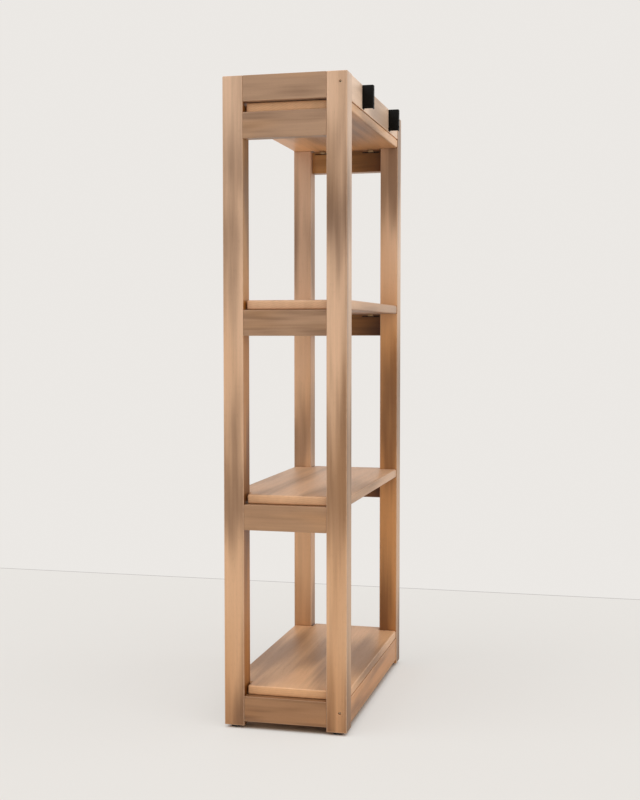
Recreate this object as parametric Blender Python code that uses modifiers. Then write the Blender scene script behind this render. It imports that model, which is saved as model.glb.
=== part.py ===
"""Free-standing open shelving unit in solid wood.

Two end frames of posts and dowelled rails are joined by two back rails and carry four notched shelves.
A tongue at each shelf end lies on the end rails between the posts, and steel clips in routed slots hold
it down. Two black brackets on the top back rail keep the unit off the wall, and each post stands on a
levelling foot. X runs along the unit and the front is -Y. The unit frame's zero is at the posts' lower ends.
"""
import math

import bmesh
import bpy
from mathutils import Matrix, Vector

# Overall sizes of the timber frame
UNIT_LENGTH = 0.900
UNIT_DEPTH = 0.390
POST_LENGTH = 2.000
POST_WIDTH = 0.064

# Rails
RAIL_THICKNESS = 0.040
RAIL_HEIGHT = 0.079
TOP_RAIL_HEIGHT = 0.078
BOTTOM_RAIL_LIFT = 0.014

# Shelves
SHELF_THICKNESS = 0.030
SLOT_CLEARANCE = 0.002
TONGUE_RECESS = 0.020
TONGUE_SIDE_GAP = 0.005
BACK_RECESS = 0.002
FRONT_RECESS = 0.001

# Edge roundings and the gap left between pieces that touch
POST_ROUND = 0.002
RAIL_ROUND = 0.0015
SHELF_ROUND = 0.0045
SEAT_GAP = 0.0003
OVERCUT = 0.002

# Dowels in the rail ends
DOWEL_RADIUS = 0.005
DOWEL_STANDOUT = 0.030
DOWEL_SPACING = 0.044
DOWEL_END_GAP = 0.001
DOWEL_SIDES = 8

# Connector bolts through the back posts into the back rails
BOLT_DROP = 0.032
BOLT_LENGTH = 0.110
BOLT_RADIUS = 0.0025
BOLT_HEAD_RADIUS = 0.0042
BOLT_HEAD_LENGTH = 0.006
BOLT_RECESS = 0.005
BOLT_SOCKET_RADIUS = 0.0023
BOLT_SOCKET_DEPTH = 0.003
BARREL_NUT_RADIUS = 0.005
BARREL_NUT_LENGTH = 0.016
BARREL_NUT_INSET = 0.038
BACK_DOWEL_DROP = 0.058

# Shelf clips, bent from steel strip, and their slots
CLIP_OFFSET = 0.041
CLIP_WIDTH = 0.018
CLIP_THICKNESS = 0.0015
CLIP_LEG = 0.009
CLIP_TAB = 0.022
CLIP_STANDOFF = 0.001
CLIP_SLOT_LENGTH = 0.070
CLIP_SLOT_HEIGHT = 0.0045
CLIP_SLOT_DROP = 0.008
SLOT_BLADE_RADIUS = 0.050
CLIP_SCREW_RADIUS = 0.002
CLIP_SCREW_LENGTH = 0.015
CLIP_SCREW_HEAD_RADIUS = 0.004
CLIP_SCREW_HEAD_HEIGHT = 0.0022

# Wall brackets, folded from steel plate, and their screws
BRACKET_SPACING = 0.440
BRACKET_WIDTH = 0.020
BRACKET_DEPTH = 0.0355
BRACKET_HEIGHT = 0.073
BRACKET_PLATE = 0.003
BRACKET_ROUND = 0.0008
BRACKET_SCREW_SPACING = 0.044
BRACKET_SCREW_RADIUS = 0.00225
BRACKET_SCREW_LENGTH = 0.027
BRACKET_SCREW_HEAD_RADIUS = 0.004
BRACKET_SCREW_HEAD_HEIGHT = 0.0025
BRACKET_DRIVER_HOLE_RADIUS = 0.0048
BRACKET_WALL_HOLE_RADIUS = 0.00275

# Levelling feet
FOOT_HEIGHT = 0.010
FOOT_RADIUS = 0.018
FOOT_PAD_THICKNESS = 0.0068
FOOT_PAD_ROUND = 0.0012
FOOT_TRAVEL = 0.010
BALL_RADIUS = 0.003
BALL_HEIGHT = 0.0046
NECK_RADIUS = 0.0021
COLLAR_RADIUS = 0.0098
STUD_RADIUS = 0.004
THREAD_CHAMFER = 0.0006
INSERT_RADIUS = 0.006
INSERT_LENGTH = 0.018

# Sizes and heights that follow from the ones above
POST_X = (UNIT_LENGTH - POST_WIDTH) / 2
POST_Y = (UNIT_DEPTH - POST_WIDTH) / 2
POST_INNER_X = UNIT_LENGTH / 2 - POST_WIDTH
POST_INNER_Y = UNIT_DEPTH / 2 - POST_WIDTH
END_RAIL_X = (UNIT_LENGTH - RAIL_THICKNESS) / 2
END_RAIL_INNER_X = UNIT_LENGTH / 2 - RAIL_THICKNESS
BACK_FACE_Y = UNIT_DEPTH / 2 - BACK_RECESS
BACK_RAIL_Y = BACK_FACE_Y - RAIL_THICKNESS / 2
LOWEST_RAIL_TOP = BOTTOM_RAIL_LIFT + RAIL_HEIGHT
HIGHEST_RAIL_TOP = POST_LENGTH - TOP_RAIL_HEIGHT - SLOT_CLEARANCE - SHELF_THICKNESS
LEVELS = ("bottom", "lower_middle", "upper_middle", "top")
SHELF_PITCH = (HIGHEST_RAIL_TOP - LOWEST_RAIL_TOP) / (len(LEVELS) - 1)
RAIL_TOPS = {level: LOWEST_RAIL_TOP + i * SHELF_PITCH for i, level in enumerate(LEVELS)}
SIDES = {"right": 1, "left": -1}
ENDS = {"front": -1, "back": 1}
CLIP_Y = POST_INNER_Y - CLIP_OFFSET
CLIP_SCREW_X = CLIP_STANDOFF + CLIP_THICKNESS + CLIP_TAB / 2
BRACKET_OVERHANG = BRACKET_DEPTH - BACK_RECESS
TOP_RAIL_CENTRE = POST_LENGTH - TOP_RAIL_HEIGHT / 2
STUD_LENGTH = INSERT_LENGTH + FOOT_TRAVEL

# Colour, roughness and metallic value of each finish
FINISHES = {
    "post_wood": ((0.55, 0.33, 0.20), 0.50, 0.0),
    "rail_wood": ((0.40, 0.25, 0.16), 0.50, 0.0),
    "shelf_wood": ((0.50, 0.32, 0.20), 0.45, 0.0),
    "black_steel": ((0.010, 0.009, 0.008), 0.35, 0.0),
    "zinc_steel": ((0.62, 0.61, 0.58), 0.30, 1.0),
    "brass": ((0.70, 0.52, 0.26), 0.35, 1.0),
    "black_plastic": ((0.012, 0.012, 0.012), 0.50, 0.0),
}


def clear_scene():
    """Remove every object that is already in the scene."""
    for old in list(bpy.data.objects):
        bpy.data.objects.remove(old, do_unlink=True)


def new_collection(name):
    """Make a collection and link it to the scene."""
    collection = bpy.data.collections.new(name)
    bpy.context.scene.collection.children.link(collection)
    return collection


def new_material(name, finish):
    """Make a Principled material from one of the named finishes."""
    colour, roughness, metallic = FINISHES[finish]
    material = bpy.data.materials.new(name)
    material.use_nodes = True
    shader = material.node_tree.nodes["Principled BSDF"]
    shader.inputs["Base Color"].default_value = (*colour, 1.0)
    shader.inputs["Roughness"].default_value = roughness
    shader.inputs["Metallic"].default_value = metallic
    return material


clear_scene()
PARTS = new_collection("shelving_unit")
CUTTERS = new_collection("cutters")
UNIT = bpy.data.objects.new("unit_frame", None)
UNIT.location = (0, -BRACKET_OVERHANG / 2, FOOT_HEIGHT)
PARTS.objects.link(UNIT)


def place(name, mesh, finish, location=(0, 0, 0), parent=UNIT):
    """Make a named part from a mesh, with its own material, in the unit's frame."""
    part = bpy.data.objects.new(name, mesh)
    part.location = location
    part.parent = parent
    mesh.materials.clear()
    mesh.materials.append(new_material(name + "_finish", finish))
    PARTS.objects.link(part)
    return part


def mesh_from(bm, name):
    """Turn a bmesh into a mesh with its normals facing out."""
    bmesh.ops.recalc_face_normals(bm, faces=bm.faces)
    mesh = bpy.data.meshes.new(name)
    bm.to_mesh(mesh)
    bm.free()
    return mesh


def add_box(bm, size, centre=(0, 0, 0)):
    """Add a box to a bmesh."""
    matrix = Matrix.Translation(centre) @ Matrix.Diagonal((*size, 1))
    bmesh.ops.create_cube(bm, size=1, matrix=matrix)


def add_cylinder(bm, start, end, radius, sides=12):
    """Add a capped cylinder that runs from one point to another."""
    start = Vector(start)
    axis = Vector(end) - start
    turn = axis.to_track_quat("Z", "Y").to_matrix().to_4x4()
    matrix = Matrix.Translation(start + axis / 2) @ turn
    bmesh.ops.create_cone(bm, cap_ends=True, segments=sides, radius1=radius, radius2=radius,
                          depth=axis.length, matrix=matrix)


def board(name, size, centre, finish):
    """Make a plain board centred on a point."""
    bm = bmesh.new()
    add_box(bm, size)
    return place(name, mesh_from(bm, name), finish, centre)


def round_edges(part, width, segments=2):
    """Round a part's sharp edges."""
    bevel = part.modifiers.new("rounding", "BEVEL")
    bevel.width = width
    bevel.segments = segments
    bevel.limit_method = "ANGLE"
    bevel.angle_limit = math.radians(40)
    return bevel


def combine_with(part, bm, name, operation):
    """Cut a part with the shapes of a bmesh, or join them to it, in the unit's frame."""
    tool = bpy.data.objects.new(f"{part.name}_{name}", mesh_from(bm, f"{part.name}_{name}"))
    tool.parent = UNIT
    tool.hide_render = True
    tool.display_type = "WIRE"
    CUTTERS.objects.link(tool)
    boolean = part.modifiers.new(name, "BOOLEAN")
    boolean.operation = operation
    boolean.object = tool


def drill(part, holes, name, sides=12):
    """Drill round holes, each a start point, an end point and a radius in the unit's frame."""
    bm = bmesh.new()
    for start, end, radius in holes:
        add_cylinder(bm, start, end, radius, sides)
    combine_with(part, bm, name, "DIFFERENCE")


def scratch_object(name, data):
    """Link an object that is only needed until its mesh is baked."""
    blank = bpy.data.objects.new(name, data)
    CUTTERS.objects.link(blank)
    return blank


def baked_mesh(blank, name):
    """Return a scratch object's evaluated mesh, welded and closed, and remove the object."""
    bpy.context.view_layer.update()
    evaluated = blank.evaluated_get(bpy.context.evaluated_depsgraph_get())
    mesh = bpy.data.meshes.new_from_object(evaluated)
    bm = bmesh.new()
    bm.from_mesh(mesh)
    bmesh.ops.remove_doubles(bm, verts=bm.verts, dist=0.00002)
    bpy.data.objects.remove(blank, do_unlink=True)
    return mesh_from(bm, name)


def baked_boolean(name, first, second, operation):
    """Cut one mesh with another, or join the two, and bake the result."""
    blank = scratch_object(name, first)
    tool = scratch_object(name + "_tool", second)
    boolean = blank.modifiers.new("tool", "BOOLEAN")
    boolean.operation = operation
    boolean.object = tool
    mesh = baked_mesh(blank, name)
    bpy.data.objects.remove(tool, do_unlink=True)
    return mesh


def turned_mesh(name, profile, steps=12, closed=False):
    """Turn a profile of (radius, height) points, listed down its outer side, about Z."""
    mesh = bpy.data.meshes.new(name)
    edges = [(i, i + 1) for i in range(len(profile) - 1)]
    if closed:
        edges.append((len(profile) - 1, 0))
    mesh.from_pydata([(radius, 0, height) for radius, height in profile], edges, [])
    blank = scratch_object(name, mesh)
    screw = blank.modifiers.new("turning", "SCREW")
    screw.steps = steps
    screw.render_steps = steps
    screw.use_merge_vertices = True
    screw.merge_threshold = 0.00005
    return baked_mesh(blank, name)


def strip_mesh(name, outline, width):
    """Extrude a flat outline in XY by a width along Z."""
    curve = bpy.data.curves.new(name, "CURVE")
    curve.dimensions = "2D"
    curve.fill_mode = "BOTH"
    curve.extrude = width / 2
    spline = curve.splines.new("POLY")
    spline.points.add(len(outline) - 1)
    for point, (x, y) in zip(spline.points, outline):
        point.co = (x, y, 0, 1)
    spline.use_cyclic_u = True
    return baked_mesh(scratch_object(name, curve), name)


def smooth(part, angle=35):
    """Shade a round part smooth, with sharp corners kept."""
    part.data.shade_smooth()
    part.data.set_sharp_from_angle(angle=math.radians(angle))


def rail_heights(level):
    """Bottom and top height of the end rail at a level; the rail over the top shelf is 'cap'."""
    if level == "cap":
        return POST_LENGTH - TOP_RAIL_HEIGHT, POST_LENGTH
    return RAIL_TOPS[level] - RAIL_HEIGHT, RAIL_TOPS[level]


def dowel_heights(level):
    """Heights of the two dowels at each end of a rail."""
    bottom, top = rail_heights(level)
    middle = (bottom + top) / 2
    return middle - DOWEL_SPACING / 2, middle + DOWEL_SPACING / 2


def end_dowel_axes(side, levels=(*LEVELS, "cap")):
    """Start point and outward direction of each dowel in one end frame, at the rail ends."""
    for level in levels:
        for height in dowel_heights(level):
            for end in ENDS.values():
                yield Vector((side * END_RAIL_X, end * POST_INNER_Y, height)), Vector((0, end, 0))


def back_rails():
    """Name, bottom height and top height of each back rail."""
    return (("bottom_back_rail", BOTTOM_RAIL_LIFT, LOWEST_RAIL_TOP),
            ("top_back_rail", POST_LENGTH - TOP_RAIL_HEIGHT, POST_LENGTH))


def back_rail_tops():
    """Top height of each back rail."""
    return [top for _, _, top in back_rails()]


def dowel_hole(joint, outward):
    """The hole in a post for a dowel, drilled from the joint face."""
    bottom = joint + outward * (DOWEL_STANDOUT + DOWEL_END_GAP)
    return joint - outward * OVERCUT, bottom, DOWEL_RADIUS + SEAT_GAP


def add_dowels(rail, joints):
    """Join the dowels glued into a rail's ends, half a dowel deep, to the rail."""
    bm = bmesh.new()
    for joint, outward in joints:
        reach = outward * DOWEL_STANDOUT
        add_cylinder(bm, joint - reach, joint + reach, DOWEL_RADIUS, DOWEL_SIDES)
    combine_with(rail, bm, "dowels", "UNION")


def make_posts():
    """The four posts, drilled for the dowels, the feet and the connector bolts."""
    for side_name, side in SIDES.items():
        for end_name, end in ENDS.items():
            x, y = side * POST_X, end * POST_Y
            post = board(f"{side_name}_{end_name}_post", (POST_WIDTH, POST_WIDTH, POST_LENGTH),
                         (x, y, POST_LENGTH / 2), "post_wood")
            round_edges(post, POST_ROUND)
            dowels = [dowel_hole(joint, out) for joint, out in end_dowel_axes(side) if out.y == end]
            wide = [((x, y, -OVERCUT), (x, y, INSERT_LENGTH + 2 * SEAT_GAP), INSERT_RADIUS + SEAT_GAP)]
            narrow = [((x, y, 0), (x, y, STUD_LENGTH + OVERCUT), STUD_RADIUS + SEAT_GAP)]
            if end_name == "back":
                dowels += [dowel_hole(*back_dowel(side, top)) for top in back_rail_tops()]
                wide += [bolt_head_hole(side, top) for top in back_rail_tops()]
                narrow += [bolt_hole(side, top) for top in back_rail_tops()]
            drill(post, dowels, "dowel_holes", DOWEL_SIDES)
            drill(post, wide, "wide_holes")
            drill(post, narrow, "narrow_holes")


def back_dowel(side, top):
    """Joint point and outward direction of the dowel at one end of a back rail."""
    return Vector((side * POST_INNER_X, BACK_RAIL_Y, top - BACK_DOWEL_DROP)), Vector((side, 0, 0))


def bolt_point(side, top, depth):
    """A point on a connector bolt's axis, at a depth from the back post's outer face."""
    return Vector((side * (UNIT_LENGTH / 2 - depth), BACK_RAIL_Y, top - BOLT_DROP))


def bolt_head_hole(side, top):
    """The counterbore for a bolt's head in a back post's outer face."""
    seat = bolt_point(side, top, BOLT_RECESS + BOLT_HEAD_LENGTH + SEAT_GAP)
    return bolt_point(side, top, -OVERCUT), seat, BOLT_HEAD_RADIUS + SEAT_GAP


def bolt_hole(side, top):
    """The hole for a bolt's shank, from its counterbore through the post and into the back rail."""
    far = bolt_point(side, top, BOLT_RECESS + BOLT_LENGTH + DOWEL_END_GAP)
    return bolt_point(side, top, BOLT_RECESS), far, BOLT_RADIUS + SEAT_GAP


def make_end_rails():
    """Five rails in each end frame; the four under the shelves are slotted for the shelf clips."""
    length = 2 * (POST_INNER_Y - SEAT_GAP)
    for side_name, side in SIDES.items():
        for level in (*LEVELS, "cap"):
            bottom, top = rail_heights(level)
            name = f"{side_name}_top_rail" if level == "cap" else f"{side_name}_{level}_shelf_rail"
            rail = board(name, (RAIL_THICKNESS, length, top - bottom),
                         (side * END_RAIL_X, 0, (bottom + top) / 2), "rail_wood")
            round_edges(rail, RAIL_ROUND)
            add_dowels(rail, end_dowel_axes(side, (level,)))
            if level != "cap":
                cut_clip_slots(rail, side, top)


def cut_clip_slots(rail, side, top):
    """Two slots as a jointing blade leaves them in the rail's inner face."""
    bm = bmesh.new()
    blade_x = END_RAIL_INNER_X - math.sqrt(SLOT_BLADE_RADIUS ** 2 - (CLIP_SLOT_LENGTH / 2) ** 2)
    middle = top - CLIP_SLOT_DROP
    for end in ENDS.values():
        low = (side * blade_x, end * CLIP_Y, middle - CLIP_SLOT_HEIGHT / 2)
        high = (side * blade_x, end * CLIP_Y, middle + CLIP_SLOT_HEIGHT / 2)
        add_cylinder(bm, low, high, SLOT_BLADE_RADIUS, sides=24)
    combine_with(rail, bm, "clip_slots", "DIFFERENCE")


def nut_point(side, top, along):
    """A point on a barrel nut's axis, which runs along Y through the middle of the back rail."""
    return Vector((side * (POST_INNER_X - BARREL_NUT_INSET), BACK_RAIL_Y + along, top - BOLT_DROP))


def barrel_nut_hole(side, top):
    """The hole for a barrel nut, from the back rail's inner face."""
    mouth = nut_point(side, top, -RAIL_THICKNESS / 2 - OVERCUT)
    return mouth, nut_point(side, top, BARREL_NUT_LENGTH / 2 + SEAT_GAP), BARREL_NUT_RADIUS + SEAT_GAP


def make_back_rails():
    """The back rails, drilled at their ends and, at the top, for the bracket screws."""
    length = 2 * (POST_INNER_X - SEAT_GAP)
    outward = Vector((0, 1, 0))
    for name, bottom, top in back_rails():
        centre = (0, BACK_RAIL_Y, (bottom + top) / 2)
        rail = board(name, (length, RAIL_THICKNESS, top - bottom), centre, "rail_wood")
        round_edges(rail, RAIL_ROUND)
        add_dowels(rail, [back_dowel(side, top) for side in SIDES.values()])
        drill(rail, [bolt_hole(side, top) for side in SIDES.values()], "bolt_holes")
        drill(rail, [barrel_nut_hole(side, top) for side in SIDES.values()], "nut_holes")
        if name == "top_back_rail":
            drill(rail, [(spot + outward * OVERCUT, spot - outward * BRACKET_SCREW_LENGTH,
                          BRACKET_SCREW_RADIUS + SEAT_GAP) for spot in bracket_screw_places()], "screw_holes")


def bracket_screw_places():
    """Centre of each bracket screw at the top back rail's outer face."""
    for side in SIDES.values():
        for end in (-1, 1):
            yield Vector((side * BRACKET_SPACING / 2 - BRACKET_PLATE / 2, BACK_FACE_Y,
                          TOP_RAIL_CENTRE + end * BRACKET_SCREW_SPACING / 2))


def shelf_underside(level):
    """Height of a shelf's lower face, just clear of the rails that carry it."""
    return RAIL_TOPS[level] + SEAT_GAP


def make_shelves():
    """Four shelves, notched round the posts, with a tongue on each end rail."""
    half_length = UNIT_LENGTH / 2 - TONGUE_RECESS
    front = -(UNIT_DEPTH / 2 - FRONT_RECESS)
    tongue_y = POST_INNER_Y - TONGUE_SIDE_GAP
    body_x = POST_INNER_X - SEAT_GAP
    for level in LEVELS:
        underside = shelf_underside(level)
        centre = Vector((0, (front + BACK_FACE_Y) / 2, underside + SHELF_THICKNESS / 2))
        size = (2 * half_length, BACK_FACE_Y - front, SHELF_THICKNESS)
        shelf = board(f"{level}_shelf", size, centre, "shelf_wood")
        bm = bmesh.new()
        for side in SIDES.values():
            for end in ENDS.values():
                reach_x = half_length + OVERCUT - body_x
                reach_y = UNIT_DEPTH / 2 + OVERCUT - tongue_y
                add_box(bm, (reach_x, reach_y, SHELF_THICKNESS + 2 * OVERCUT),
                        (side * (body_x + reach_x / 2), end * (tongue_y + reach_y / 2), centre.z))
        combine_with(shelf, bm, "notches", "DIFFERENCE")
        round_edges(shelf, SHELF_ROUND)
        drill(shelf, [(spot + Vector((0, 0, SEAT_GAP - OVERCUT)), spot + Vector((0, 0, CLIP_SCREW_LENGTH)),
                       CLIP_SCREW_RADIUS + SEAT_GAP) for spot in clip_screw_places(level)],
              "pilot_holes", sides=8)


def clip_places(level):
    """Name and place of each clip at a level, at the top inner edge of its rail."""
    for side_name, side in SIDES.items():
        for end_name, end in ENDS.items():
            turn = Matrix.Rotation(0 if side > 0 else math.pi, 4, "Z")
            spot = Matrix.Translation((side * END_RAIL_INNER_X, end * CLIP_Y, RAIL_TOPS[level]))
            yield f"{side_name}_{end_name}_{level}_shelf_clip", spot @ turn


def clip_screw_places(level):
    """Centre of each clip screw at the top face of its clip."""
    for _, matrix in clip_places(level):
        yield matrix @ Vector((-CLIP_SCREW_X, 0, 0))


def screw_mesh(name, radius, length, head_radius, head_height):
    """A screw along -Z from its head's seat at zero height, with a domed head above it."""
    turns = [math.radians(turn) for turn in (0, 40, 90)]
    dome = [(head_radius * math.sin(turn), head_height * (0.4 + 0.6 * math.cos(turn))) for turn in turns]
    profile = [*dome, (head_radius, 0), (radius, 0), (radius, -0.8 * length), (0, -length)]
    return turned_mesh(name, profile, steps=8)


def clip_mesh():
    """A clip with its screw driven home: a leg in the slot, a riser and a tab under the shelf."""
    inner = -CLIP_STANDOFF - CLIP_THICKNESS
    leg_top = -(CLIP_SLOT_DROP - CLIP_SLOT_HEIGHT / 2 + SEAT_GAP)
    leg_bottom = leg_top - CLIP_THICKNESS
    tab_end = inner - CLIP_TAB
    outline = [(tab_end, 0), (tab_end, -CLIP_THICKNESS), (inner, -CLIP_THICKNESS), (inner, leg_bottom),
               (CLIP_LEG, leg_bottom), (CLIP_LEG, leg_top), (-CLIP_STANDOFF, leg_top), (-CLIP_STANDOFF, 0)]
    strip = strip_mesh("clip_strip", outline, CLIP_WIDTH)
    strip.transform(Matrix.Rotation(math.pi / 2, 4, "X"))
    screw = screw_mesh("clip_screw", CLIP_SCREW_RADIUS, CLIP_SCREW_LENGTH, CLIP_SCREW_HEAD_RADIUS,
                       CLIP_SCREW_HEAD_HEIGHT)
    seat = Matrix.Translation((-CLIP_SCREW_X, 0, -CLIP_THICKNESS))
    screw.transform(seat @ Matrix.Rotation(math.pi, 4, "X"))
    return baked_boolean("shelf_clip", strip, screw, "UNION")


def make_clips():
    """The four clips under each shelf."""
    clip = clip_mesh()
    for level in LEVELS:
        for name, matrix in clip_places(level):
            part = place(name, clip.copy(), "zinc_steel", matrix.translation)
            part.rotation_euler = matrix.to_euler()


def bolt_mesh():
    """A connector bolt along -Z from the top of its head, with a hexagon socket."""
    tip = BOLT_RADIUS - THREAD_CHAMFER
    profile = [(0, 0), (BOLT_HEAD_RADIUS, 0), (BOLT_HEAD_RADIUS, -BOLT_HEAD_LENGTH),
               (BOLT_RADIUS, -BOLT_HEAD_LENGTH), (BOLT_RADIUS, THREAD_CHAMFER - BOLT_LENGTH),
               (tip, -BOLT_LENGTH), (0, -BOLT_LENGTH)]
    socket = bmesh.new()
    add_cylinder(socket, (0, 0, OVERCUT), (0, 0, -BOLT_SOCKET_DEPTH), BOLT_SOCKET_RADIUS, sides=6)
    blank = turned_mesh("bolt_blank", profile)
    return baked_boolean("bolt", blank, mesh_from(socket, "bolt_socket"), "DIFFERENCE")


def barrel_nut_mesh():
    """A barrel nut lying along Y, cross-drilled along X for the bolt."""
    half = BARREL_NUT_LENGTH / 2
    reach = BARREL_NUT_RADIUS + OVERCUT
    body = bmesh.new()
    add_cylinder(body, (0, -half, 0), (0, half, 0), BARREL_NUT_RADIUS)
    bore = bmesh.new()
    add_cylinder(bore, (-reach, 0, 0), (reach, 0, 0), BOLT_RADIUS + SEAT_GAP)
    return baked_boolean("barrel_nut", mesh_from(body, "nut_body"), mesh_from(bore, "nut_bore"), "DIFFERENCE")


def make_back_rail_fixings():
    """A bolt at each end of each back rail and the barrel nut that it screws into."""
    bolt = bolt_mesh()
    nut = barrel_nut_mesh()
    for rail_name, _, top in back_rails():
        for side_name, side in SIDES.items():
            head = bolt_point(side, top, BOLT_RECESS)
            part = place(f"{side_name}_{rail_name}_bolt", bolt.copy(), "zinc_steel", head)
            part.rotation_euler = (0, side * math.pi / 2, 0)
            smooth(part)
            middle = nut_point(side, top, 0)
            smooth(place(f"{side_name}_{rail_name}_barrel_nut", nut.copy(), "zinc_steel", middle))


def bracket_blank():
    """A folded bracket: a web with a flange on the rail and one for the wall, with rounded edges."""
    half = BRACKET_WIDTH / 2
    web = half - BRACKET_PLATE
    back, front = SEAT_GAP, BRACKET_DEPTH
    inner_back, inner_front = back + BRACKET_PLATE, front - BRACKET_PLATE
    outline = [(half, back), (half, front), (-half, front), (-half, inner_front),
               (web, inner_front), (web, inner_back), (-half, inner_back), (-half, back)]
    blank = scratch_object("bracket_blank", strip_mesh("bracket_strip", outline, BRACKET_HEIGHT))
    round_edges(blank, BRACKET_ROUND)
    return baked_mesh(blank, "bracket_blank")


def bracket_mesh():
    """A bracket with its wall holes, and with its two screws driven into the rail."""
    screw_x = -BRACKET_PLATE / 2
    wall_face = BRACKET_DEPTH - BRACKET_PLATE
    heights = (-BRACKET_SCREW_SPACING / 2, BRACKET_SCREW_SPACING / 2)
    holes = bmesh.new()
    start, end = wall_face - OVERCUT, BRACKET_DEPTH + OVERCUT
    add_cylinder(holes, (screw_x, start, 0), (screw_x, end, 0), BRACKET_WALL_HOLE_RADIUS)
    for height in heights:
        add_cylinder(holes, (screw_x, start, height), (screw_x, end, height), BRACKET_DRIVER_HOLE_RADIUS)
    mesh = baked_boolean("bracket", bracket_blank(), mesh_from(holes, "bracket_holes"), "DIFFERENCE")
    for height in heights:
        screw = screw_mesh("bracket_screw", BRACKET_SCREW_RADIUS, BRACKET_SCREW_LENGTH,
                           BRACKET_SCREW_HEAD_RADIUS, BRACKET_SCREW_HEAD_HEIGHT)
        seat = Matrix.Translation((screw_x, SEAT_GAP + BRACKET_PLATE, height))
        screw.transform(seat @ Matrix.Rotation(-math.pi / 2, 4, "X"))
        mesh = baked_boolean("bracket", mesh, screw, "UNION")
    return mesh


def make_wall_brackets():
    """Two brackets on the top back rail that keep the unit off the wall."""
    bracket = bracket_mesh()
    for side_name, side in SIDES.items():
        place(f"{side_name}_wall_bracket", bracket.copy(), "black_steel",
              (side * BRACKET_SPACING / 2, BACK_FACE_Y, TOP_RAIL_CENTRE))


def pad_mesh():
    """A round pad with a rounded lower edge and a ball socket in its top."""
    socket = BALL_RADIUS + SEAT_GAP
    mouth = math.acos((FOOT_PAD_THICKNESS - BALL_HEIGHT) / socket)
    steps = 4
    profile = []
    for i in range(steps + 1):
        angle = math.pi - (math.pi - mouth) * i / steps
        profile.append((socket * math.sin(angle), BALL_HEIGHT + socket * math.cos(angle)))
    chamfer = FOOT_PAD_ROUND / 2
    profile += [(FOOT_RADIUS - chamfer, FOOT_PAD_THICKNESS), (FOOT_RADIUS, FOOT_PAD_THICKNESS - chamfer),
                (FOOT_RADIUS, FOOT_PAD_ROUND), (FOOT_RADIUS - FOOT_PAD_ROUND, 0), (0, 0)]
    return turned_mesh("foot_pad", profile, steps=20)


def stud_mesh():
    """A stud with a ball end below, a hexagon collar and a plain shank for the thread."""
    collar_bottom = FOOT_PAD_THICKNESS + SEAT_GAP
    collar_top = FOOT_HEIGHT - SEAT_GAP
    middle = (collar_bottom + collar_top) / 2
    top = FOOT_HEIGHT + STUD_LENGTH
    neck = math.asin(NECK_RADIUS / BALL_RADIUS)
    steps = 4
    profile = [(0, top), (STUD_RADIUS - THREAD_CHAMFER, top), (STUD_RADIUS, top - THREAD_CHAMFER),
               (STUD_RADIUS, middle), (NECK_RADIUS, middle)]
    for i in range(steps + 1):
        angle = neck + (math.pi - neck) * i / steps
        profile.append((BALL_RADIUS * math.sin(angle), BALL_HEIGHT + BALL_RADIUS * math.cos(angle)))
    collar = bmesh.new()
    add_cylinder(collar, (0, 0, collar_bottom), (0, 0, collar_top), COLLAR_RADIUS, sides=6)
    return baked_boolean("stud", turned_mesh("stud_blank", profile), mesh_from(collar, "collar"), "UNION")


def make_feet():
    """A levelling foot under each post: an insert in the post, a stud in it and a pad on the stud."""
    pad = pad_mesh()
    stud = stud_mesh()
    bore = STUD_RADIUS + SEAT_GAP
    ring = [(INSERT_RADIUS, INSERT_LENGTH), (INSERT_RADIUS, 0), (bore, 0), (bore, INSERT_LENGTH)]
    insert = turned_mesh("foot_insert", ring, closed=True)
    for side_name, side in SIDES.items():
        for end_name, end in ENDS.items():
            corner = f"{side_name}_{end_name}"
            x, y = side * POST_X, end * POST_Y
            smooth(place(f"{corner}_foot_pad", pad.copy(), "black_plastic", (x, y, -FOOT_HEIGHT)))
            smooth(place(f"{corner}_foot_stud", stud.copy(), "zinc_steel", (x, y, -FOOT_HEIGHT)))
            smooth(place(f"{corner}_foot_insert", insert.copy(), "brass", (x, y, SEAT_GAP)))


def make_shelving_unit():
    """Build the whole unit."""
    make_posts()
    make_end_rails()
    make_back_rails()
    make_shelves()
    make_clips()
    make_back_rail_fixings()
    make_wall_brackets()
    make_feet()


make_shelving_unit()
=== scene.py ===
# %% [markdown]
# # A tall wooden shelving unit
#
# The unit is two ladder-like end frames, joined by two back rails, with four shelves that lie on the frames'
# rails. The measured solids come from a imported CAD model. This lesson dresses them: it gives every board its
# own piece of timber, and builds the small metal parts again with the bends, threads and screw heads that
# a plain solid leaves out.

# %% Load the measured frame
import math

import bmesh
import bpy
from mathutils import Matrix, Vector


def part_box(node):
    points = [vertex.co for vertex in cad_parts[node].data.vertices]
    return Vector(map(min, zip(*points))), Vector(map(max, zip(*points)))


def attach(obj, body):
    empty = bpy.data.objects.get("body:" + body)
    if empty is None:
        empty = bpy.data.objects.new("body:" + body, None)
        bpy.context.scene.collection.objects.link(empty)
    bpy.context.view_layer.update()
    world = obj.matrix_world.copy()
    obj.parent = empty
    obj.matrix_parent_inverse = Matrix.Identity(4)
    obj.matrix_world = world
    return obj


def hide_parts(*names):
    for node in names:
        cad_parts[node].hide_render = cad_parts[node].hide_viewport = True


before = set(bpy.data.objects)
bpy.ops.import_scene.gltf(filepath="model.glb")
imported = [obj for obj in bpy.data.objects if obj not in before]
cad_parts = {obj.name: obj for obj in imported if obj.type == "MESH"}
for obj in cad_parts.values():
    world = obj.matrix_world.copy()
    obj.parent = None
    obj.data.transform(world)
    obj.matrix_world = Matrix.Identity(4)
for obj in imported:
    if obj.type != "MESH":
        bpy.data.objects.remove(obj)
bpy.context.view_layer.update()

print("solids:", len(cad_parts))

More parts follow.
